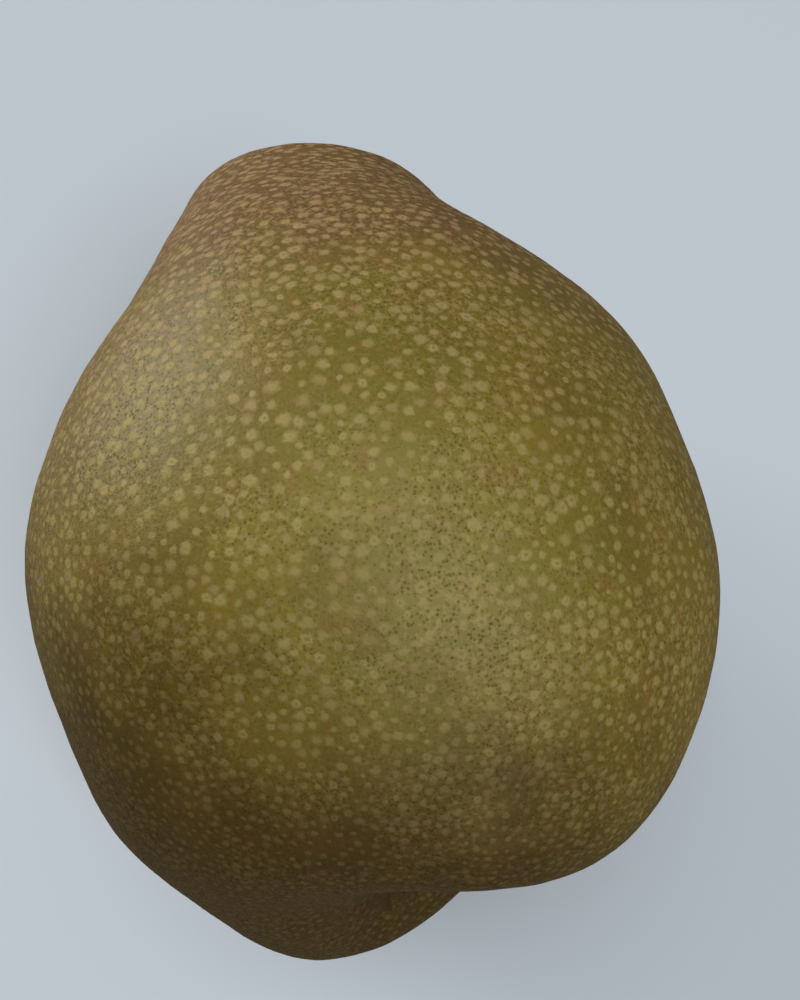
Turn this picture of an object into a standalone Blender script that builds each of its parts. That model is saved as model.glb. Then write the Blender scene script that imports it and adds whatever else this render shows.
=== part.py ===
"""A large spotted pear lying on its side: the fruit, grown as one piece, and its short woody stem.

Sizes are in millimetres in the fruit's own frame, and become metres in the scene. In that frame Y is
the fruit's axis, with the stem end at +Y and the blossom end at -Y, and Z points up from the table.
The finished pair is then set down: the rest spot at Z = 0, and the middle of its box on the Z axis.
"""

import math

import bmesh
import bpy
from mathutils import Vector

MM = 0.001

# The half outline of the fruit before it grew uneven, from the stem to the blossom: (along the axis, radius).
STEM_END = 49.2
STEM_CAVITY = 6.0  # depth
BLOSSOM_END = -45.0
BLOSSOM_BASIN = 8.5  # depth
OUTLINE = (
    (STEM_END - STEM_CAVITY, 0.0),
    (STEM_END - 4.4, 4.0),
    (STEM_END - 0.4, 8.5),  # rim of the stem cavity
    (STEM_END - 1.5, 14.5),
    (STEM_END - 5.4, 20.3),
    (STEM_END - 11.4, 24.3),  # neck
    (24.0, 34.2),
    (8.0, 40.8),
    (-10.0, 44.2),  # belly
    (-26.0, 41.0),
    (BLOSSOM_END + 6.0, 31.5),
    (BLOSSOM_END, 20.5),  # rim of the blossom basin
    (BLOSSOM_END + 0.8, 12.0),
    (BLOSSOM_END + 6.0, 5.0),
    (BLOSSOM_END + BLOSSOM_BASIN, 0.0),
)
OUTLINE_STEPS = 600
HEIGHT_SHARE = 0.95  # the section is a little lower than it is wide

# The axis bends to the left from the belly to the stem.
BEND_START = -3.0
BEND_LENGTH = 50.0
BEND_LEFT = 9.35
BEND_POWER = 1.5

# Swellings and hollows of the grown form: centre, reach along X, Y and Z, and the way it pushes.
SWELLINGS = (
    ((4.0, -42.0, 0.0), (24.0, 18.0, 24.0), (6.0, 0.0, -4.0)),  # the basin sits low and to the right
    ((21.0, -36.0, 20.0), (18.0, 20.0, 17.0), (0.0, -6.0, 0.0)),  # upper right lobe
    ((-3.0, -40.0, -10.0), (21.0, 22.0, 26.0), (0.0, -16.0, 0.0)),  # lower left lobe
    ((-22.0, -34.0, 0.0), (16.0, 16.0, 26.0), (-1.0, -3.4, 0.0)),  # flank of the left lobe
    ((4.0, -50.0, 8.0), (13.0, 12.0, 8.0), (0.0, 5.3, 0.0)),  # groove between the lobes
    ((17.0, -50.0, -6.0), (9.0, 14.0, 12.0), (0.0, 6.8, 0.0)),  # the basin runs out to the right
    ((34.0, 20.0, 4.0), (15.0, 12.0, 28.0), (2.2, 0.0, 0.0)),  # right shoulder
    ((23.0, 36.0, 8.0), (13.0, 11.0, 28.0), (-5.4, 0.0, 0.0)),  # waist on the right of the neck
    ((-30.0, 22.0, 0.0), (12.0, 12.0, 30.0), (5.4, 0.0, 0.0)),  # waist on the left of the neck
    ((30.0, -28.0, 0.0), (16.0, 16.0, 34.0), (1.6, 0.0, 0.0)),  # right side of the belly
    ((-32.0, -28.0, 0.0), (16.0, 16.0, 34.0), (2.3, 0.0, 0.0)),  # a slight flat on the left side
)

AROUND = 64
ALONG = 44
REST_DEPTH = 1.0  # how much of the round underside the rest spot takes off

# The stem's middle line, from its foot in the cavity to its broken end: offsets from that foot, thickness.
STEM_GAP = 1.15  # at its middle: the cavity's floor curves up to 0.3 from the foot's edge
STEM_RADIUS = 1.5
STEM_LINE = (
    ((0.0, 0.0, 0.0), 1.25),
    ((0.1, 2.0, -0.1), 1.05),
    ((0.3, 4.6, -0.4), 0.95),
    ((0.4, 7.2, -0.9), 0.95),
    ((0.2, 9.6, -1.5), 1.05),
    ((-0.2, 11.6, -2.2), 1.3),
    ((-0.5, 12.8, -2.6), 1.45),
)


def smooth_outline():
    """OUTLINE as a smooth curve (Catmull-Rom), mirrored past each pole so that it crosses the axis squarely."""
    points = [Vector(point) for point in OUTLINE]
    before = Vector((points[1].x, -points[1].y))
    after = Vector((points[-2].x, -points[-2].y))
    points = [before, *points, after]
    spans = len(OUTLINE) - 1
    curve = []
    for step in range(OUTLINE_STEPS + 1):
        place = spans * step / OUTLINE_STEPS
        span = min(int(place), spans - 1)
        t = place - span
        a, b, c, d = points[span : span + 4]
        bend = 2 * a - 5 * b + 4 * c - d
        twist = 3 * b - 3 * c + d - a
        curve.append((2 * b + (c - a) * t + bend * t**2 + twist * t**3) / 2)
    return curve


def outline_at(curve, lengths, share):
    """The outline's point at this share of its length."""
    wanted = share * lengths[-1]
    after = next(i for i, length in enumerate(lengths) if length >= wanted - 1e-9)
    if after == 0:
        return curve[0]
    step = lengths[after] - lengths[after - 1]
    return curve[after - 1].lerp(curve[after], (wanted - lengths[after - 1]) / step)


def running_lengths(curve):
    lengths = [0.0]
    for start, end in zip(curve, curve[1:]):
        lengths.append(lengths[-1] + (end - start).length)
    return lengths


def bend_at(along):
    """How far left the fruit's axis is at this place along it."""
    return -BEND_LEFT * max((along - BEND_START) / BEND_LENGTH, 0.0) ** BEND_POWER


def grown(point):
    """A point of the bent, even fruit, moved by every swelling and hollow in turn."""
    for centre, reach, push in SWELLINGS:
        far = sum(((point[i] - centre[i]) / reach[i]) ** 2 for i in range(3))
        point = point + Vector(push) * math.exp(-far)
    return point


def material(name, colour, roughness):
    """A plain Principled material, colour in linear light."""
    made = bpy.data.materials.new(name)
    made.use_nodes = True
    shader = made.node_tree.nodes["Principled BSDF"]
    shader.inputs["Base Color"].default_value = (*colour, 1.0)
    shader.inputs["Roughness"].default_value = roughness
    shader.inputs["Metallic"].default_value = 0.0
    return made


def pear_fruit(collection):
    """A sphere whose rings follow the outline, bent, swollen into its lobes and flattened where it rests."""
    curve = smooth_outline()
    lengths = running_lengths(curve)
    ball = bmesh.new()
    bmesh.ops.create_uvsphere(ball, u_segments=AROUND, v_segments=ALONG, radius=1.0)
    for vert in ball.verts:
        share = math.acos(max(-1.0, min(1.0, vert.co.z))) / math.pi
        along, radius = outline_at(curve, lengths, share)
        turn = math.atan2(vert.co.x, vert.co.y)
        x = radius * math.cos(turn) + bend_at(along)
        z = radius * math.sin(turn) * HEIGHT_SHARE
        vert.co = grown(Vector((x, along, z)))
    floor = min(vert.co.z for vert in ball.verts) + REST_DEPTH
    for vert in ball.verts:
        vert.co.z = max(vert.co.z, floor)
        vert.co *= MM
    bmesh.ops.recalc_face_normals(ball, faces=ball.faces)
    mesh = bpy.data.meshes.new("pear_fruit")
    ball.to_mesh(mesh)
    ball.free()
    mesh.shade_smooth()
    mesh.materials.append(material("pear_skin", (0.200, 0.148, 0.040), 0.42))
    fruit = bpy.data.objects.new("pear_fruit", mesh)
    collection.objects.link(fruit)
    return fruit


def stem(collection):
    """A thin woody stalk on a bent line, swollen at its foot and at the knob where it left the twig."""
    foot = STEM_END - STEM_CAVITY
    start = grown(Vector((bend_at(foot), foot, 0.0))) + Vector((0.0, STEM_GAP, 0.0))
    path = bpy.data.curves.new("stem_line", "CURVE")
    path.dimensions = "3D"
    path.bevel_depth = STEM_RADIUS * MM
    path.bevel_resolution = 2
    path.use_fill_caps = True
    spline = path.splines.new("POLY")
    spline.points.add(len(STEM_LINE) - 1)
    for point, (offset, thickness) in zip(spline.points, STEM_LINE):
        point.co = (*((start + Vector(offset)) * MM), 1.0)
        point.radius = thickness
    path.materials.append(material("stem_bark", (0.080, 0.045, 0.022), 0.75))
    stalk = bpy.data.objects.new("stem", path)
    collection.objects.link(stalk)
    return stalk


def set_down(pieces):
    """Moves every piece so that the lowest point is at Z = 0 and the middle of the whole box is on the Z axis."""
    bpy.context.view_layer.update()
    corners = [piece.matrix_world @ Vector(corner) for piece in pieces for corner in piece.bound_box]
    low = Vector([min(corner[i] for corner in corners) for i in range(3)])
    high = Vector([max(corner[i] for corner in corners) for i in range(3)])
    shift = Vector((-(low.x + high.x) / 2, -(low.y + high.y) / 2, -low.z))
    for piece in pieces:
        piece.location += shift
    bpy.context.view_layer.update()
    print("pear, mm:", [round(side / MM, 1) for side in high - low], "moved", [round(s / MM, 2) for s in shift])


def build():
    for old in list(bpy.data.objects):
        bpy.data.objects.remove(old, do_unlink=True)
    collection = bpy.data.collections.new("pear")
    bpy.context.scene.collection.children.link(collection)
    set_down([pear_fruit(collection), stem(collection)])


build()
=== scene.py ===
# %% [markdown]
# # A spotted pear lying on its side
#
# The fruit is a large olive-green pear. Its skin is satin with natural wax, browned by russet at the neck,
# and crowded with thousands of tan lenticels, the corky breathing pores of the skin. The exact solids
# of the fruit and its stem come from the frame. This file gives them their living surface.

# %% Load the frame
import math
import random

import bmesh
import bpy
import numpy as np
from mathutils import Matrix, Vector, kdtree, noise


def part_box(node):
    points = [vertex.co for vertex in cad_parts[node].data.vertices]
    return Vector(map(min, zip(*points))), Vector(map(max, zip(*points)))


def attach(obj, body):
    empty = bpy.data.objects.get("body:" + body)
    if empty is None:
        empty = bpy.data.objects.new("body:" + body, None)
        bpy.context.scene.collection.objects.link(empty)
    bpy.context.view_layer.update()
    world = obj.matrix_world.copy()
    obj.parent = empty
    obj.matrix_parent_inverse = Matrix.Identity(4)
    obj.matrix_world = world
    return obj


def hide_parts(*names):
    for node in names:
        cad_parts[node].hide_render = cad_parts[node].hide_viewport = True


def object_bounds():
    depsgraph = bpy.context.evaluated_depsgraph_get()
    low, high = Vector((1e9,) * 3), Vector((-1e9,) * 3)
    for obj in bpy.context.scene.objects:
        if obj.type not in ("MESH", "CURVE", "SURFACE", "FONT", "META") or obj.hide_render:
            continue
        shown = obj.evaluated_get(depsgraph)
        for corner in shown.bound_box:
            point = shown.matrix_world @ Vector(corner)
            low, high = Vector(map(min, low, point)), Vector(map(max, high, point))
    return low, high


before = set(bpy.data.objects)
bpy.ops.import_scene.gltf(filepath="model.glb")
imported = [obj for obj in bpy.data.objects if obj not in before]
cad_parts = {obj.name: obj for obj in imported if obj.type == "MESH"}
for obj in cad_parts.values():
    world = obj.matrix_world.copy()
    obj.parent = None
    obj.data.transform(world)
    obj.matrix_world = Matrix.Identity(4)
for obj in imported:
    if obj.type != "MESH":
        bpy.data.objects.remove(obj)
cad_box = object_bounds()
MM = 0.001
fruit_low, fruit_high = (Vector(corner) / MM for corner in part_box("pear_fruit"))
fruit_middle = (fruit_low + fruit_high) / 2
fruit_length = fruit_high.y - fruit_low.y
print("fruit, mm:", [round(side, 1) for side in fruit_high - fruit_low])

# %% [markdown]
# ## Helpers
#
# Colours are written as sRGB hex, the way a colour picker shows them, while a shader mixes light, which is
# linear. One function turns the first into the second. A second one adds a node with its settings and
# links, so that a material reads as a list of what is laid over what. Two more start an empty material and
# put a finished one on a piece.


# %% Colour and node helpers
def linear(hex_colour):
    """An sRGB hex colour as linear red, green, blue and alpha."""
    parts = [int(hex_colour[i : i + 2], 16) / 255 for i in (1, 3, 5)]
    return (*[p / 12.92 if p <= 0.04045 else ((p + 0.055) / 1.055) ** 2.4 for p in parts], 1.0)


def add(tree, kind, settings=None, links=None):
    """A new node. Settings are its properties. Links fill its inputs: values, outputs, or whole nodes."""
    made = tree.nodes.new(kind)
    for name, value in (settings or {}).items():
        setattr(made, name, value)
    for name, value in (links or {}).items():
        value = value.outputs[0] if isinstance(value, bpy.types.Node) else value
        if isinstance(value, bpy.types.NodeSocket):
            tree.links.new(value, made.inputs[name])
        else:
            made.inputs[name].default_value = value
    return made


def new_material(name):
    """A material with an empty node tree, and that tree."""
    material = bpy.data.materials.new(name)
    material.use_nodes = True
    material.node_tree.nodes.clear()
    return material, material.node_tree


def wear(piece, material):
    """Gives a piece this material and no other."""
    piece.data.materials.clear()
    piece.data.materials.append(material)


# %% [markdown]
# ## The fruit's fine mesh
#
# The frame's fruit is faceted, with about 5500 triangles. Its surface is right but coarse. Subdividing it
# would round the facets, but would crowd the new points at the poles, where the triangles are small. So a
# copy is rebuilt from even quads, 0.7 mm across, with a voxel remesh, and then relaxed until the facets are
# gone. Even quads give the swells and the lenticels points everywhere.

# %% Build the fine skin
SKIN_VOXEL = 0.68
SMOOTHING_ROUNDS = 40
WELD = 0.001


def apply_modifiers(piece):
    """Turns the piece's modifiers into plain mesh."""
    bpy.context.view_layer.update()
    graph = bpy.context.evaluated_depsgraph_get()
    finished = bpy.data.meshes.new_from_object(piece.evaluated_get(graph))
    piece.modifiers.clear()
    piece.data = finished


def welded_mesh(source):
    """A node's mesh for editing. The frame splits it at every facet, so points that coincide are joined."""
    welded = bmesh.new()
    welded.from_mesh(source.data)
    bmesh.ops.remove_doubles(welded, verts=welded.verts, dist=WELD * MM)
    return welded


def fine_copy(source, name, voxel, rounds):
    """A copy of a faceted node, remeshed into even quads and relaxed."""
    mesh = source.data.copy()
    welded = welded_mesh(source)
    welded.to_mesh(mesh)
    welded.free()
    piece = bpy.data.objects.new(name, mesh)
    bpy.context.scene.collection.objects.link(piece)
    remesh = piece.modifiers.new("Even quads", "REMESH")
    remesh.mode = "VOXEL"
    remesh.voxel_size = voxel * MM
    smooth = piece.modifiers.new("Smooth", "SMOOTH")
    smooth.iterations = rounds
    apply_modifiers(piece)
    piece.data.shade_smooth()
    return piece


skin = fine_copy(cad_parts["pear_fruit"], "pear_skin", SKIN_VOXEL, SMOOTHING_ROUNDS)
print("skin:", len(skin.data.polygons), "quads")
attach(skin, "root")
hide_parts("pear_fruit")

# %% [markdown]
# ## The two ends
#
# A pear has two poles. At one the stem stands in its cavity; at the other, the blossom end, a basin holds the
# calyx, the dried remains of the flower. The frame's mesh marks both: they are the points where a whole
# ring of triangles meets, so the two corners with the most edges are the poles.


# %% Find the poles
def poles_of(source):
    """The blossom pole and the stem pole, in millimetres."""
    mesh = welded_mesh(source)
    busiest = sorted(mesh.verts, key=lambda corner: len(corner.link_edges))[-2:]
    found = sorted((corner.co.copy() / MM for corner in busiest), key=lambda place: place.y)
    mesh.free()
    return found


blossom_pole, stem_pole = poles_of(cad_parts["pear_fruit"])
print("blossom pole:", [round(c, 1) for c in blossom_pole], "stem pole:", [round(c, 1) for c in stem_pole])

# %% [markdown]
# ## Where the lenticels are
#
# A lenticel is a round corky spot about a millimetre across, sometimes with an open pore in its middle. On a
# pear they crowd: the small ones near the blossom end are a millimetre apart, and the large ones on the belly
# 1.5 mm. On the neck, where the skin stretched sideways as the fruit swelled, they are drawn out around it.
# An image texture could show them, but it would need an unwrapped skin and would smear at both ends, and a
# plain cell pattern clumps them. So they are sown: points of the fine mesh are tried in a shuffled order,
# and one is kept if no earlier one stands too near.
#
# Each face of the skin then notes the way from its corners to its two nearest lenticels, measured in each
# lenticel's own size. Across a face that changes evenly, so the spots stay round and crisp though the faces
# are 0.7 mm wide.

# %% Sow the lenticels
SEED = 11
random.seed(SEED)
noise.seed_set(SEED)  # without this, Blender seeds its noise vectors from the clock


def along_share(place):
    """How far a place is from the blossom end (0) to the stem end (1)."""
    return (place.y - fruit_low.y) / fruit_length


def between(value, table):
    """A value read off a table of (where, what) pairs, evenly in between."""
    return float(np.interp(value, [row[0] for row in table], [row[1] for row in table]))


APART = ((0.0, 0.95), (0.15, 1.1), (0.3, 1.35), (0.45, 1.55), (0.7, 1.5), (1.0, 1.4))
RADIUS = ((0.0, 0.3), (0.15, 0.34), (0.3, 0.43), (0.45, 0.49), (0.7, 0.48), (1.0, 0.44))
STRETCH = ((0.0, 1.0), (0.6, 1.05), (0.75, 1.25), (1.0, 1.45))
APART_LEAST, APART_MOST = 0.75, 1.35
SIZE_LEAST, SIZE_MOST = 0.62, 1.3
TOUCHING = 1.0  # the least way between two spots' middles, as a share of their two radii together
TURN_SPREAD = 0.25  # radians that a spot's long way strays from the way round the fruit
STRETCH_LEAST, STRETCH_MOST = 0.85, 1.25


def mesh_values(mesh):
    """The mesh's points, in millimetres, and their normals."""
    places = np.empty(len(mesh.vertices) * 3, np.float32)
    mesh.vertices.foreach_get("co", places)
    normals = np.empty(len(mesh.vertices) * 3, np.float32)
    mesh.vertex_normals.foreach_get("vector", normals)
    return places.reshape(-1, 3) / MM, normals.reshape(-1, 3)


def sow(places, normals):
    """The lenticels' middles, each with the directions and reaches of its spot."""
    cell = max(row[1] for row in APART) * APART_MOST
    boxes = {}
    lenticels = []
    order = list(range(len(places)))
    random.shuffle(order)
    for index in order:
        normal = Vector(normals[index])
        around = Vector((0.0, 1.0, 0.0)).cross(normal)
        if around.length < 0.05:
            around = Vector((1.0, 0.0, 0.0)).cross(normal)
        around.normalize()
        upward = normal.cross(around)
        jitter = SKIN_VOXEL / 2
        place = Vector(places[index]) + random.uniform(-jitter, jitter) * around
        place += random.uniform(-jitter, jitter) * upward
        share = along_share(place)
        apart = between(share, APART) * random.uniform(APART_LEAST, APART_MOST)
        radius = between(share, RADIUS) * random.uniform(SIZE_LEAST, SIZE_MOST)
        key = tuple(int(c // cell) for c in place)
        near = [other for dx in (-1, 0, 1) for dy in (-1, 0, 1) for dz in (-1, 0, 1)
                for other in boxes.get((key[0] + dx, key[1] + dy, key[2] + dz), ())]
        if any((place - other).length < max(apart, TOUCHING * (radius + reach)) for other, reach in near):
            continue
        boxes.setdefault(key, []).append((place, radius))
        turn = random.gauss(0.0, TURN_SPREAD)
        stretch = between(share, STRETCH) * random.uniform(STRETCH_LEAST, STRETCH_MOST)
        first = around * math.cos(turn) + upward * math.sin(turn)
        second = normal.cross(first)
        lenticels.append((place, first / (radius * stretch), second / radius, random.random()))
    return lenticels


places, normals = mesh_values(skin.data)
lenticels = sow(places, normals)
print("lenticels:", len(lenticels))

# %% [markdown]
# ### Note the nearest lenticels on every face
#
# Three numbers go to each corner of each face: the way to a lenticel in two directions, where a length of 1
# is the spot's edge, and that spot's own chance number, which later tints it. One lenticel a face would cut
# the spots off where two come close, so the two nearest are kept, as "lenticel_a" and "lenticel_b".

# %% Store the pattern on the mesh
CANDIDATES = 5


def face_corners(mesh):
    """The four points of each face, as indices. A voxel remesh makes nothing but quads."""
    corners = np.empty(len(mesh.loops), np.int32)
    mesh.loops.foreach_get("vertex_index", corners)
    return corners.reshape(-1, 4)


def search_tree(points):
    """A tree that finds the nearest of these points quickly."""
    tree = kdtree.KDTree(len(points))
    for index, point in enumerate(points):
        tree.insert(point, index)
    tree.balance()
    return tree


def note_lenticels(mesh, places, lenticels):
    """Writes both attributes. Returns each point's distance to a lenticel, as a share of its size."""
    tree = search_tree([lenticel[0] for lenticel in lenticels])
    corners = face_corners(mesh)
    centres = places[corners].mean(axis=1)
    nearest = np.array([[which for _, which, _ in tree.find_n(centre, CANDIDATES)] for centre in centres])
    middles, firsts, seconds = (np.array([lenticel[i] for lenticel in lenticels]) for i in range(3))
    chances = np.array([lenticel[3] for lenticel in lenticels])
    offsets = places[corners][:, None] - middles[nearest][:, :, None]
    ways = np.empty((*offsets.shape[:3], 3), np.float32)
    ways[..., 0] = (offsets * firsts[nearest][:, :, None]).sum(axis=3)
    ways[..., 1] = (offsets * seconds[nearest][:, :, None]).sum(axis=3)
    ways[..., 2] = chances[nearest][:, :, None]
    reaches = np.hypot(ways[..., 0], ways[..., 1])
    ranking = np.argsort(reaches.min(axis=2), axis=1)
    for name, rank in (("lenticel_a", 0), ("lenticel_b", 1)):
        kept = ways[np.arange(len(corners)), ranking[:, rank]]
        mesh.attributes.new(name, "FLOAT_VECTOR", "CORNER").data.foreach_set("vector", kept.ravel())
    at_points = np.full(len(places), 9.0)
    np.minimum.at(at_points, corners.ravel(), reaches.min(axis=1).ravel())
    return at_points


reaches = note_lenticels(skin.data, places, lenticels)
print("points inside a spot:", int((reaches < 1).sum()), "of", len(reaches))

# %% [markdown]
# ## Relief
#
# Flesh is never a perfect curve: it swells and dips by a few tenths of a millimetre over a centimetre or two,
# and finer still around each lenticel. A bump map would leave the outline too smooth, so the points
# themselves move. Noise moves each one along its normal, the corky spots stand a few hundredths of a
# millimetre proud, and at both poles the skin is puckered, drawn into furrows where it narrows to the core.
# Then the rest spot is laid flat again.

# %% Shape the uneven flesh
SWELL_APART, SWELL_HEIGHT = 17.0, 0.45
DIMPLE_APART, DIMPLE_HEIGHT = 4.5, 0.10
DIMPLE_SHIFT = Vector((9.0, 3.0, 5.0))  # keeps the dimples from following the swells
LENTICEL_HEIGHT, DOME_SPREAD = 0.022, 1.4
POLE_NEAR = 3.0
FURROW_WANDER, WANDER_APART = 0.5, 3.5
BLOSSOM_FURROWS, BLOSSOM_REACH, BLOSSOM_DEPTH = 7, 12.0, 0.7
STEM_FURROWS, STEM_REACH, STEM_DEPTH = 9, 8.0, 0.35


def outward_at(pole, places, normals):
    """The way out of the fruit at a pole: the mean normal of the skin near it."""
    near = np.linalg.norm(places - np.array(pole), axis=1) < POLE_NEAR
    return Vector(normals[near].mean(axis=0).tolist()).normalized()


def pucker(place, pole, outward, furrows, reach, depth):
    """How deep the skin is drawn in at a place near a pole."""
    way = place - pole
    if way.length > reach:
        return 0.0
    flat = way - way.dot(outward) * outward
    side = outward.orthogonal().normalized()
    angle = math.atan2(flat.dot(outward.cross(side)), flat.dot(side))
    angle += FURROW_WANDER * noise.noise(place / WANDER_APART)
    fade = math.sin(math.pi * (way.length / reach) ** 0.6)
    return depth * fade * max(0.0, math.cos(furrows * angle)) ** 2


def roughen(mesh, places, normals, reaches):
    """Moves the mesh's points along their normals and lays the rest spot flat again."""
    moved = places.copy()
    blossom_out = outward_at(blossom_pole, places, normals)
    stem_out = outward_at(stem_pole, places, normals)
    for index, point in enumerate(places):
        place = Vector(point)
        swell = noise.noise(place / SWELL_APART) * SWELL_HEIGHT
        dimple = noise.noise(place / DIMPLE_APART + DIMPLE_SHIFT) * DIMPLE_HEIGHT
        dome = LENTICEL_HEIGHT * max(0.0, 1.0 - float(reaches[index]) ** 2 / DOME_SPREAD)
        drawn = pucker(place, blossom_pole, blossom_out, BLOSSOM_FURROWS, BLOSSOM_REACH, BLOSSOM_DEPTH)
        drawn += pucker(place, stem_pole, stem_out, STEM_FURROWS, STEM_REACH, STEM_DEPTH)
        moved[index] += normals[index] * (swell + dimple + dome - drawn)
    moved[:, 2] = np.maximum(moved[:, 2], 0.0)
    mesh.vertices.foreach_set("co", (moved * MM).astype(np.float32).ravel())
    mesh.update()
    return moved


moved = roughen(skin.data, places, normals, reaches)
print("largest move, mm:", round(float(np.abs(moved - places).max()), 2))

# %% [markdown]
# ## Skin material
#
# Pear skin is a living cuticle: pigment cells under clear wax, grown, not made. To the eye that is a diffuse
# olive with a broad, soft gloss. Russet is thin cork in its place: it is brown and dull. Tile or paint would
# be one even colour, but here the layers go on in the order they lie in the skin: ground colour, russet, the
# fine dark pinpoints of the breathing cells, and the lenticels on top.

# %% Skin colours and gloss
SKIN_OLIVE = "#887530"  # most of the belly
SKIN_YELLOW = "#8f7b34"  # riper patches
SKIN_GREEN = "#79702c"  # patches that a leaf shaded
SKIN_BROWN = "#77602e"  # brown patches, and the browner blossom end
SKIN_BRONZE_AND_SHEEN = "#83704b"  # partly the shoulder's own tan, partly a painted sheen where the window's gloss falls
SKIN_GLOW = "#9f9542"  # painted highlight: a paler yellow glow where the front lamp's highlight falls on the belly
RUSSET = "#775b38"
RUSSET_WARM = "#93703a"
LENTICEL_TAN = "#ae9f5f"
LENTICEL_RUSSET = "#b89a6c"
LENTICEL_PORE = "#6b5a2c"
PINPOINT = "#4a3a12"
OLD_CORK = "#4c3822"  # the dead tissue at both poles
PAINTED_SHADE_BROWN = "#5c3a18"  # painted shade: multiplies the skin's colour at the blossom end, more on the left
SKIN_IOR = 1.40  # wax over cells
WAX_GLOSS = 0.36  # a natural bloom of wax reflects less than a polished face


def skin_places(tree):
    """The place on the fruit in millimetres, its X, and its share of the way from blossom to stem."""
    here = add(tree, "ShaderNodeTexCoord").outputs["Object"]
    place = add(tree, "ShaderNodeVectorMath", {"operation": "SCALE"}, {0: here, "Scale": 1 / MM})
    parts = add(tree, "ShaderNodeSeparateXYZ", {}, {0: place})
    share = add(tree, "ShaderNodeMapRange", {"clamp": False},
                {"Value": parts.outputs[1], "From Min": fruit_low.y, "From Max": fruit_high.y})
    return place, parts.outputs[0], share


def cloud(tree, place, apart, low, high, most=1.0, detail=3.0, shift=0.0):
    """Soft noise patches about this far apart: 0 below one noise level, and the most above another."""
    moved = add(tree, "ShaderNodeVectorMath", {"operation": "ADD"}, {0: place, 1: (shift, shift, shift)})
    patches = add(tree, "ShaderNodeTexNoise", {}, {"Vector": moved, "Scale": 1 / apart, "Detail": detail,
                                                   "Roughness": 0.55})
    return add(tree, "ShaderNodeMapRange", {"interpolation_type": "SMOOTHSTEP"},
               {"Value": patches.outputs["Fac"], "From Min": low, "From Max": high, "To Max": most})


def halo(tree, place, middle, start, end, most=1.0, ragged=0.0):
    """A patch round one place: 0 beyond the start, and the most within the end, both in millimetres."""
    distance = add(tree, "ShaderNodeVectorMath", {"operation": "DISTANCE"}, {0: place, 1: middle})
    uneven = add(tree, "ShaderNodeTexNoise", {}, {"Vector": place, "Scale": 1 / 2.5, "Detail": 3.0})
    edge = add(tree, "ShaderNodeMath", {"operation": "MULTIPLY_ADD"},
               {0: uneven.outputs["Fac"], 1: ragged, 2: distance.outputs["Value"]})
    return add(tree, "ShaderNodeMapRange", {"interpolation_type": "SMOOTHSTEP"},
               {"Value": edge, "From Min": start + ragged / 2, "From Max": end + ragged / 2, "To Max": most})


def laid_over(tree, ground, layers, blend="MIX"):
    """A colour with layers over it in order, each of them a share and a colour."""
    for share, colour in layers:
        ground = add(tree, "ShaderNodeMix", {"data_type": "RGBA", "blend_type": blend},
                     {"Factor": share, 6: ground, 7: colour}).outputs[2]
    return ground


# %% [markdown]
# ### Lenticels in the material
#
# The spot's edge is the place where the way to its middle reaches 1. A little noise is added to that way, so
# the edge is ragged, as cork is where it has burst the skin.

# %% Read the lenticels back
RAGGED_APART = 0.6


def one_lenticel(tree, name):
    """The length of the way to a lenticel, and the lenticel's chance number."""
    way = add(tree, "ShaderNodeAttribute", {"attribute_name": name})
    parts = add(tree, "ShaderNodeSeparateXYZ", {}, {0: way.outputs["Vector"]})
    flat = add(tree, "ShaderNodeCombineXYZ", {}, {0: parts.outputs[0], 1: parts.outputs[1]})
    reach = add(tree, "ShaderNodeVectorMath", {"operation": "LENGTH"}, {0: flat})
    return reach.outputs["Value"], parts.outputs[2]


def lenticel_reach(tree, place):
    """How far each place is from a lenticel's middle (1 is its ragged edge), and that one's chance number."""
    first, first_chance = one_lenticel(tree, "lenticel_a")
    second, second_chance = one_lenticel(tree, "lenticel_b")
    other = add(tree, "ShaderNodeMath", {"operation": "LESS_THAN"}, {0: second, 1: first})
    chance = add(tree, "ShaderNodeMix", {"data_type": "FLOAT"},
                 {"Factor": other, 2: first_chance, 3: second_chance})
    nearer = add(tree, "ShaderNodeMath", {"operation": "MINIMUM"}, {0: first, 1: second})
    ragged = add(tree, "ShaderNodeTexNoise", {}, {"Vector": place, "Scale": 1 / RAGGED_APART, "Detail": 2.0,
                                                  "Roughness": 0.7})
    wobble = add(tree, "ShaderNodeMapRange", {"clamp": False},
                 {"Value": ragged.outputs["Fac"], "To Min": -0.75, "To Max": 0.75})
    return add(tree, "ShaderNodeMath", {"operation": "ADD"}, {0: nearer, 1: wobble}), chance


# %% [markdown]
# ### Pinpoints and grains
#
# Between the lenticels the skin is stippled: dark breathing pores 0.4 mm apart, with pale grains of wax and
# cork between them. They are drawn up to 0.3 mm wide, which is wider than real pores, so that they show.

# %% Stipple
PINPOINTS_APART = 0.42
PINPOINT_EDGE, PINPOINT_CORE = 0.46, 0.2  # radii, as shares of the distance apart
GRAINS_APART = 0.5


def stipple(tree, place, where):
    """The shares of dark pinpoints and of pale grains, strongest where the skin is worn and on the painted
    sheen of the shoulder.
    """
    dots = add(tree, "ShaderNodeTexVoronoi", {"feature": "F1"},
               {"Vector": place, "Scale": 1 / PINPOINTS_APART})
    dark_most = add(tree, "ShaderNodeMapRange", {}, {"Value": where, "To Min": 0.18, "To Max": 0.5})
    dark = add(tree, "ShaderNodeMapRange", {"interpolation_type": "SMOOTHSTEP"},
               {"Value": dots.outputs["Distance"], "From Min": PINPOINT_EDGE,
                "From Max": PINPOINT_CORE, "To Max": dark_most})
    grains = add(tree, "ShaderNodeTexNoise", {}, {"Vector": place, "Scale": 1 / GRAINS_APART, "Detail": 2.0})
    pale_most = add(tree, "ShaderNodeMapRange", {}, {"Value": where, "To Min": 0.13, "To Max": 0.58})
    pale = add(tree, "ShaderNodeMapRange", {"interpolation_type": "SMOOTHSTEP"},
               {"Value": grains.outputs["Fac"], "From Min": 0.45, "From Max": 0.7, "To Max": pale_most})
    return dark, pale
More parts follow.
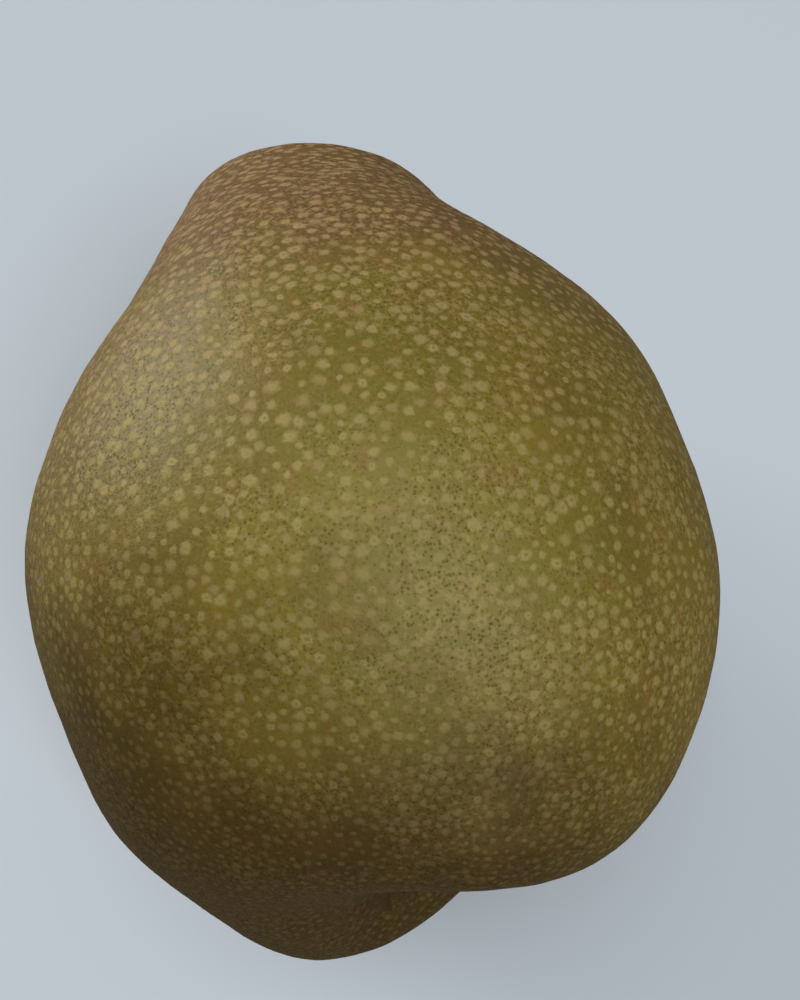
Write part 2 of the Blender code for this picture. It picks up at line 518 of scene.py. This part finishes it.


# %% [markdown]
# ### The whole skin
#
# A wavy line where the noise shifts the share along the fruit sets where russet starts, so the neck has no
# ruled border. The upper-left shoulder carries a greyer, paler patch: partly its own tan, partly a painted
# sheen where the window's gloss falls, with stronger stipple. Towards the blossom end the skin turns browner,
# and painted shade darkens it there, reaching further up on the left.

# %% Skin material
SHEEN_SHOULDER = Vector((fruit_low.x * 0.85, 2.0, fruit_high.z * 0.64))
SHEEN_START, SHEEN_END = 40.0, 14.0
BORDER_WAVE = 0.12  # how far the borders wander, as a share of the fruit's length
NECK_START, NECK_FULL, NECK_MOST = 0.69, 0.85, 0.92
WARMING_START = 0.5  # from here to the neck the lenticels turn russet
BROWNING_START, BROWNING_FULL, BROWNING_MOST = 0.28, 0.06, 0.6
SHADE_START, SHADE_FULL, SHADE_MOST = 0.46, 0.16, 0.72
SHADE_TILT = 0.003  # the shade reaches further up on the left, by this share for each millimetre
BRONZE_AND_SHEEN_MOST = 0.6
SATIN, RUSSET_DULL = 0.41, 0.56  # roughness of the wax and of the cork
CORK_ADDS, PINPOINT_ADDS = 0.1, 0.6
DOME_HEIGHT, GRAIN_HEIGHT, PIT_DEPTH = 0.03, 0.08, 0.035
GRAIN_APART = 0.45
GLOW_MIDDLE = Vector((5.0, -23.0, fruit_high.z))
GLOW_START, GLOW_END = 26.0, 4.0


def pear_cuticle():
    """The whole skin, from its ground colour out to its wax."""
    material, tree = new_material("pear_cuticle")
    place, across, share = skin_places(tree)
    border = cloud(tree, place, 13.0, 0.25, 0.75, shift=40.0)
    wavy = add(tree, "ShaderNodeMath", {"operation": "MULTIPLY_ADD"}, {0: border, 1: BORDER_WAVE, 2: share})
    # Browner towards the blossom end.
    low_end = add(tree, "ShaderNodeMapRange", {},
                  {"Value": wavy, "From Min": BROWNING_START, "From Max": BROWNING_FULL, "To Max": BROWNING_MOST})
    neck = add(tree, "ShaderNodeMapRange", {"interpolation_type": "SMOOTHSTEP"},
               {"Value": wavy, "From Min": NECK_START, "From Max": NECK_FULL, "To Max": NECK_MOST})
    towards_neck = add(tree, "ShaderNodeMapRange", {},
                       {"Value": wavy, "From Min": WARMING_START, "From Max": NECK_FULL})
    # Painted sheen, partly the shoulder's own tan: a greyer, paler patch on the upper-left shoulder, where
    # the window's gloss falls.
    tan_and_sheen = halo(tree, place, SHEEN_SHOULDER, SHEEN_START, SHEEN_END, ragged=8.0)
    bronze_and_sheen = add(tree, "ShaderNodeMath", {"operation": "MULTIPLY"}, {0: tan_and_sheen, 1: BRONZE_AND_SHEEN_MOST})

    ground = laid_over(tree, linear(SKIN_OLIVE), (
        (cloud(tree, place, 24.0, 0.42, 0.60, 0.75), linear(SKIN_GREEN)),
        (cloud(tree, place, 15.0, 0.5, 0.66, 0.8, shift=80.0), linear(SKIN_YELLOW)),
        (cloud(tree, place, 9.0, 0.5, 0.68, 0.5, 4.0, 20.0), linear(SKIN_BROWN)),
        # Painted highlight: a paler yellow glow on top of the belly, where the front lamp's highlight falls.
        (halo(tree, place, GLOW_MIDDLE, GLOW_START, GLOW_END, 0.5, 8.0), linear(SKIN_GLOW)),
        (bronze_and_sheen, linear(SKIN_BRONZE_AND_SHEEN)),
        (low_end, linear(SKIN_BROWN)),
        (neck, linear(RUSSET)),
        (cloud(tree, place, 3.6, 0.57, 0.70, 0.5, 4.0, 60.0), linear(RUSSET_WARM)),
    ))

    worn = cloud(tree, place, 11.0, 0.35, 0.6, shift=120.0)
    # The worn patches and the painted sheen on the shoulder both strengthen the stipple.
    weathered_and_sheen = add(tree, "ShaderNodeMath", {"operation": "MAXIMUM"}, {0: worn, 1: tan_and_sheen})
    dark, pale = stipple(tree, place, weathered_and_sheen)
    spot, chance = lenticel_reach(tree, place)
    rusty = add(tree, "ShaderNodeMapRange", {}, {"Value": chance, "From Min": 0.3, "From Max": 0.1,
                                                 "To Max": 0.6})
    browner = add(tree, "ShaderNodeMath", {"operation": "MAXIMUM"}, {0: rusty, 1: towards_neck})
    cork = laid_over(tree, linear(LENTICEL_TAN), ((browner, linear(LENTICEL_RUSSET)),))
    solid = add(tree, "ShaderNodeMapRange", {},
                {"Value": chance, "From Max": 0.9, "To Min": 0.5, "To Max": 0.95})
    inside = add(tree, "ShaderNodeMapRange", {"interpolation_type": "SMOOTHSTEP"},
                 {"Value": spot, "From Min": 1.45, "From Max": 0.45, "To Max": solid})
    open_most = add(tree, "ShaderNodeMapRange", {}, {"Value": chance, "From Min": 0.6, "From Max": 0.95,
                                                     "To Max": 0.5})
    pore = add(tree, "ShaderNodeMapRange", {"interpolation_type": "SMOOTHSTEP"},
               {"Value": spot, "From Min": 0.5, "From Max": 0.05, "To Max": open_most})
    spotted = laid_over(tree, ground, (
        (dark, linear(PINPOINT)),
        (pale, cork),
        (inside, cork),
        (pore, linear(LENTICEL_PORE)),
        (halo(tree, place, blossom_pole, 9.0, 4.0, 0.8, 5.0), linear(RUSSET)),
        (halo(tree, place, blossom_pole, 4.0, 2.0, 0.9, 2.0), linear(OLD_CORK)),
        (halo(tree, place, stem_pole, 5.0, 2.5, 0.75, 2.5), linear(OLD_CORK)),
    ))

    # Painted shade: the colour is multiplied darker towards the blossom end, reaching further up on the left.
    lower_left = add(tree, "ShaderNodeMath", {"operation": "MULTIPLY_ADD"},
                     {0: across, 1: SHADE_TILT, 2: wavy})
    shaded = add(tree, "ShaderNodeMapRange", {"interpolation_type": "SMOOTHSTEP"},
                 {"Value": lower_left, "From Min": SHADE_START, "From Max": SHADE_FULL, "To Max": SHADE_MOST})
    colour = laid_over(tree, spotted, ((shaded, linear(PAINTED_SHADE_BROWN)),), "MULTIPLY")

    # Wax gives the green skin a satin face. Cork is duller, and an open pinpoint is dullest.
    satin = add(tree, "ShaderNodeMapRange", {}, {"Value": neck, "To Min": SATIN, "To Max": RUSSET_DULL})
    corky = add(tree, "ShaderNodeMath", {"operation": "MULTIPLY_ADD"}, {0: inside, 1: CORK_ADDS, 2: satin})
    roughness = add(tree, "ShaderNodeMath", {"operation": "MULTIPLY_ADD"},
                    {0: dark, 1: PINPOINT_ADDS, 2: corky})

    # Heights in millimetres: a dome on each lenticel, the grain of the cells, and pits at the pinpoints.
    dome = add(tree, "ShaderNodeMapRange", {"interpolation_type": "SMOOTHSTEP"},
               {"Value": spot, "From Min": 1.25, "From Max": 0.55, "To Max": DOME_HEIGHT})
    grain = add(tree, "ShaderNodeTexNoise", {}, {"Vector": place, "Scale": 1 / GRAIN_APART, "Detail": 3.0})
    grained = add(tree, "ShaderNodeMath", {"operation": "MULTIPLY_ADD"},
                  {0: grain.outputs["Fac"], 1: GRAIN_HEIGHT, 2: dome})
    height = add(tree, "ShaderNodeMath", {"operation": "MULTIPLY_ADD"}, {0: dark, 1: -PIT_DEPTH, 2: grained})
    bump = add(tree, "ShaderNodeBump", {}, {"Strength": 1.0, "Distance": MM, "Height": height})

    shader = add(tree, "ShaderNodeBsdfPrincipled", {},
                 {"Base Color": colour, "Roughness": roughness, "IOR": SKIN_IOR,
                  "Specular IOR Level": WAX_GLOSS, "Normal": bump})
    add(tree, "ShaderNodeOutputMaterial", {}, {"Surface": shader})
    return material


wear(skin, pear_cuticle())
print("skin material:", len(skin.active_material.node_tree.nodes), "nodes")

# %% [markdown]
# ## Calyx
#
# In the basin at the blossom end sit the remains of the flower: five dry sepals, curled and brittle, round a
# tuft of dead stamens. A dark disc painted on the skin would read as a hole, so each sepal is a thin tapering
# blade. It starts under the skin, rises along the pole, leans out and curls back on itself as it dries.

# %% Shape the calyx
SEPALS, SEPAL_LENGTH, SEPAL_WIDTH, SEPAL_THICK = 5, 3.0, 2.1, 0.22
STAMENS, STAMEN_LENGTH, STAMEN_WIDTH = 9, 1.5, 0.34
CALYX_RADIUS, TUFT_RADIUS = 1.7, 0.8
BURIED = 0.8  # how far below the skin a blade starts
CRINKLE_PER_MM, CRINKLE = 0.9, 0.25


def blade(mesh, foot, outward, away, length, width, lean, curl):
    """Adds one blade, tapering to its tip. It leans out at its foot and curls over by so much, in radians."""
    rows, columns = 9, 4
    across = outward.cross(away)
    middle = foot.copy()
    grid = []
    for row in range(rows + 1):
        done = row / rows
        angle = lean + curl * done**2
        middle += (outward * math.cos(angle) + away * math.sin(angle)) * length / rows
        half = width / 2 * (1.0 - done**1.7) + 0.04
        cupping = outward * math.sin(angle) - away * math.cos(angle)
        line = []
        for column in range(columns + 1):
            side = 2 * column / columns - 1
            point = middle + across * half * side + cupping * half * 0.5 * side * side
            point += noise.noise_vector(point * CRINKLE_PER_MM) * CRINKLE
            line.append(mesh.verts.new(point * MM))
        grid.append(line)
    for row in range(rows):
        for column in range(columns):
            mesh.faces.new((grid[row][column], grid[row][column + 1],
                            grid[row + 1][column + 1], grid[row + 1][column]))


def make_calyx(surface):
    """The sepals and stamens on the skin round the blossom pole."""
    tree = search_tree(surface)
    outward = outward_at(blossom_pole, places, normals)
    side = outward.orthogonal().normalized()
    mesh = bmesh.new()
    for count, radius, length, width, lean, curl in (
            (SEPALS, CALYX_RADIUS, SEPAL_LENGTH, SEPAL_WIDTH, 0.25, 1.7),
            (STAMENS, TUFT_RADIUS, STAMEN_LENGTH, STAMEN_WIDTH, 0.0, 0.7)):
        for index in range(count):
            turn = math.tau * index / count + random.uniform(-0.2, 0.2)
            away = side * math.cos(turn) + outward.cross(side) * math.sin(turn)
            bed = tree.find(blossom_pole + away * radius)[0]
            blade(mesh, bed - outward * BURIED, outward, away, length * random.uniform(0.8, 1.15), width,
                  lean + random.uniform(-0.15, 0.2), curl * random.uniform(0.6, 1.2))
    made = bpy.data.meshes.new("calyx")
    mesh.to_mesh(made)
    mesh.free()
    piece = bpy.data.objects.new("calyx", made)
    bpy.context.scene.collection.objects.link(piece)
    thick = piece.modifiers.new("Thickness", "SOLIDIFY")
    thick.thickness = SEPAL_THICK * MM
    thick.offset = 0.0
    piece.modifiers.new("Rounded", "SUBSURF").levels = 1
    apply_modifiers(piece)
    piece.data.shade_smooth()
    return piece


calyx = make_calyx(moved)
print("calyx:", len(calyx.data.polygons), "faces")
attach(calyx, "root")

# %% [markdown]
# ## Stem
#
# The stalk is a thin woody twig. It is stout at its foot, where it grows out of the fruit, slimmer along its
# length, and swells again at the far end, where it snapped off the spur. The frame's stem has that sweep. A
# copy of it gets the twig's own relief: ridges of fibre along it, small knots, and a foot that
# spreads against the floor of the cavity.

# %% Shape the stem
STEM_VOXEL = 0.16
STEM_ROUNDS = 8
RIDGES_APART, RIDGE_LENGTH, RIDGE_HEIGHT = 0.75, 4.5, 0.3
KNOTS_APART, KNOT_HEIGHT = 0.9, 0.12
FOOT_SPREAD, FOOT_LENGTH = 0.7, 1.1
TORN_FACING, TORN_EDGE, TORN_LENGTH = 0.55, 0.25, 3.5
TORN_APART, TORN_HEIGHT = 0.35, 0.3

stalk = fine_copy(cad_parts["stem"], "pear_stem", STEM_VOXEL, STEM_ROUNDS)
stem_low, stem_high = (Vector(corner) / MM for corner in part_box("stem"))
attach(stalk, "root")
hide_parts("stem")


def weather_stem(mesh):
    """Ridges, knots and a spread foot. It notes the torn wood of the far end as the attribute "torn_end"."""
    places, normals = mesh_values(mesh)
    steps = np.arange(stem_low.y, stem_high.y + 1.0, 1.0)
    line = np.array([places[np.abs(places[:, 1] - step) < 1.0].mean(axis=0) for step in steps])
    middles = np.stack([np.interp(places[:, 1], line[:, 1], line[:, axis]) for axis in range(3)], axis=1)
    moved = places.copy()
    torn = np.zeros(len(places), np.float32)
    end_way = Vector((line[-1] - line[-4]).tolist()).normalized()
    for index, point in enumerate(places):
        place = Vector(point)
        off = Vector((point - middles[index]).tolist())
        fibres = Vector((place.x / RIDGES_APART, place.y / RIDGE_LENGTH, place.z / RIDGES_APART))
        ridge = noise.noise(fibres) * RIDGE_HEIGHT
        knot = noise.noise(place / KNOTS_APART + Vector((4.0, 7.0, 1.0))) * KNOT_HEIGHT
        spread = FOOT_SPREAD * math.exp(-(place.y - stem_low.y) / FOOT_LENGTH)
        facing = Vector(normals[index]).dot(end_way)
        if facing > TORN_FACING and place.y > stem_high.y - TORN_LENGTH:
            torn[index] = min(1.0, (facing - TORN_FACING) / TORN_EDGE)
            knot += noise.noise(place / TORN_APART) * TORN_HEIGHT
        moved[index] += normals[index] * (ridge + knot) + np.array(off) * spread
    mesh.vertices.foreach_set("co", (moved * MM).astype(np.float32).ravel())
    mesh.attributes.new("torn_end", "FLOAT", "POINT").data.foreach_set("value", torn)
    mesh.update()
    return int((torn > 0.5).sum())


print("stem:", len(stalk.data.polygons), "quads,", weather_stem(stalk.data), "points on the torn end")

# %% [markdown]
# ### Dry bark and dry flower
#
# Bark is dead cork over fibre, grey-brown where the weather bleached it and darker in the furrows. It has
# hardly any gloss. The torn end shows paler wood. The calyx is the same dead tissue, darker and more brittle.

# %% Stem and calyx materials
BARK_DARK, BARK_PALE = "#38271a", "#84694a"
BARK_SPECK = "#a58f68"
TORN_WOOD = "#a98a5d"
CALYX_DARK, CALYX_PALE = "#2b1d12", "#76573a"
BARK_STREAK, CALYX_STREAK = 6.0, 3.0  # how many times longer than wide a streak is
DRY_ROUGHNESS, DRY_IOR, DRY_GLOSS = 0.85, 1.45, 0.3
CRACK_DEPTH = 0.12


def dry_tissue(name, dark, pale, stretch, torn=False):
    """Dead, matt plant tissue: streaks of two colours along Y, with fine cracks as relief."""
    material, tree = new_material(name)
    place = skin_places(tree)[0]
    along = add(tree, "ShaderNodeVectorMath", {"operation": "MULTIPLY"},
                {0: place, 1: (1.0, 1 / stretch, 1.0)})
    streaks = cloud(tree, along, 0.55, 0.36, 0.66, detail=5.0)
    layers = [(streaks, linear(pale))]
    layers.append((cloud(tree, place, 0.7, 0.66, 0.72, 0.8, 1.0, 30.0), linear(BARK_SPECK)))
    if torn:
        layers.append((add(tree, "ShaderNodeAttribute", {"attribute_name": "torn_end"}).outputs["Fac"],
                       linear(TORN_WOOD)))
    colour = laid_over(tree, linear(dark), layers)
    colour = laid_over(tree, colour, ((cloud(tree, along, 0.22, 0.5, 0.7, 0.6, 2.0, 50.0), linear(dark)),))
    height = add(tree, "ShaderNodeMath", {"operation": "MULTIPLY"}, {0: streaks, 1: CRACK_DEPTH})
    bump = add(tree, "ShaderNodeBump", {}, {"Strength": 1.0, "Distance": MM, "Height": height})
    shader = add(tree, "ShaderNodeBsdfPrincipled", {},
                 {"Base Color": colour, "Roughness": DRY_ROUGHNESS, "IOR": DRY_IOR,
                  "Specular IOR Level": DRY_GLOSS, "Normal": bump})
    add(tree, "ShaderNodeOutputMaterial", {}, {"Surface": shader})
    return material


wear(stalk, dry_tissue("stem_bark", BARK_DARK, BARK_PALE, BARK_STREAK, torn=True))
wear(calyx, dry_tissue("dried_calyx", CALYX_DARK, CALYX_PALE, CALYX_STREAK))
print("dry materials:", stalk.active_material.name, "and", calyx.active_material.name)

# %% [markdown]
# ## Floor
#
# The fruit lies on plain pale card. A bright floor would light the fruit's underside and fill in its soft
# shadows, so the card looks pale, but bounces as little light as a grey cloth would.

# %% Floor
FLOOR_RADIUS = 0.9
FLOOR_SEEN, FLOOR_BOUNCE = "#dde8f4", "#857a6e"
bpy.ops.mesh.primitive_circle_add(vertices=128, radius=FLOOR_RADIUS, fill_type="NGON")
floor = bpy.context.object
floor.name = "floor"


def matt_card():
    """Card that looks pale to the camera and bounces little light."""
    material, tree = new_material("matt_card")
    seen = add(tree, "ShaderNodeLightPath").outputs["Is Camera Ray"]
    colour = laid_over(tree, linear(FLOOR_BOUNCE), ((seen, linear(FLOOR_SEEN)),))
    shader = add(tree, "ShaderNodeBsdfDiffuse", {}, {"Color": colour})
    add(tree, "ShaderNodeOutputMaterial", {}, {"Surface": shader})
    return material


wear(floor, matt_card())
print("floor radius, m:", FLOOR_RADIUS)

# %% [markdown]
# ## Light
#
# A large low window to the upper left gives the long sheen on the shoulder, and the skin carries a painted
# sheen there too. A ceiling lamp and a front lamp, both wide and soft, give the pale glow in the middle of
# the belly, and a painted highlight in the skin's colour adds to it. A weak fill keeps the blossom end
# readable. Point lamps would burn hard white dots into the wax, so every lamp is a wide square.

# %% Lights
LIGHT_AIM = Vector((0.0, 0.0, cad_box[1][2] / 2))


def soft_light(name, place, size, watts, colour):
    """A square area light aimed at the fruit's middle."""
    lamp = bpy.data.lights.new(name, "AREA")
    lamp.size = size
    lamp.energy = watts
    lamp.color = colour
    light = bpy.data.objects.new(name, lamp)
    light.location = place
    light.rotation_euler = (LIGHT_AIM - light.location).to_track_quat("-Z", "Y").to_euler()
    bpy.context.scene.collection.objects.link(light)


LAMPS = (  # name, place and size in metres, watts, colour
    ("ceiling_lamp", (0.0, 0.1, 1.2), 0.8, 4.1, (1.0, 0.99, 0.97)),
    ("window", (-1.08, 0.78, 0.42), 0.95, 12.0, (1.0, 0.96, 0.9)),
    ("front_lamp", (0.42, -0.52, 1.0), 0.6, 4.75, (1.0, 0.99, 0.96)),
    ("fill_lamp", (0.3, -1.3, 0.3), 1.0, 1.5, (1.0, 0.98, 0.95)),
)
for name, place, size, watts, colour in LAMPS:
    soft_light(name, place, size, watts, colour)
print("lamps, W:", [lamp[3] for lamp in LAMPS])

# %% [markdown]
# ### The room
#
# Past the floor the camera sees a pale room. As a light the room is dim, so that the soft shading stays.

# %% Room
ROOM_COLOUR = "#e1e5ea"
ROOM_LIGHT, ROOM_SEEN = 0.05, 0.8


def studio():
    """A room that looks pale to the camera and gives little light."""
    world = bpy.data.worlds.new("studio")
    world.use_nodes = True
    tree = world.node_tree
    seen = add(tree, "ShaderNodeLightPath").outputs["Is Camera Ray"]
    strength = add(tree, "ShaderNodeMapRange", {}, {"Value": seen, "To Min": ROOM_LIGHT, "To Max": ROOM_SEEN})
    room = tree.nodes["Background"]
    room.inputs["Color"].default_value = linear(ROOM_COLOUR)
    tree.links.new(strength.outputs[0], room.inputs["Strength"])
    return world


bpy.context.scene.world = studio()
bpy.context.scene.view_settings.view_transform = "Standard"

# %% [markdown]
# ## Camera
#
# The view is a close one, looking steeply down, from 70 degrees above the table. The camera stands 12.5 cm
# from a point near the fruit's middle, a distance that was assumed and not measured. So near, the fruit's
# far parts shrink and the belly bulges towards the eye, which a distant camera would flatten.

# %% Camera
FOCAL_SHARE = 0.9  # focal length over sensor height
SENSOR = 36.0
ELEVATION = math.radians(70.0)
DISTANCE = 0.125
AIM_SHIFT = Vector((3.65, 4.77, -0.5))  # from the fruit's middle, so that the stem is framed as well
AIM = (fruit_middle + AIM_SHIFT) * MM
lens = bpy.data.cameras.new("camera")
lens.sensor_width = SENSOR
lens.lens = SENSOR * FOCAL_SHARE
lens.clip_start = 0.005
camera = bpy.data.objects.new("camera", lens)
camera.location = AIM + DISTANCE * Vector((0.0, -math.cos(ELEVATION), math.sin(ELEVATION)))
camera.rotation_euler = (math.pi / 2 - ELEVATION, 0.0, 0.0)
bpy.context.scene.collection.objects.link(camera)
bpy.context.scene.camera = camera
print("camera at, m:", [round(c, 3) for c in camera.location])
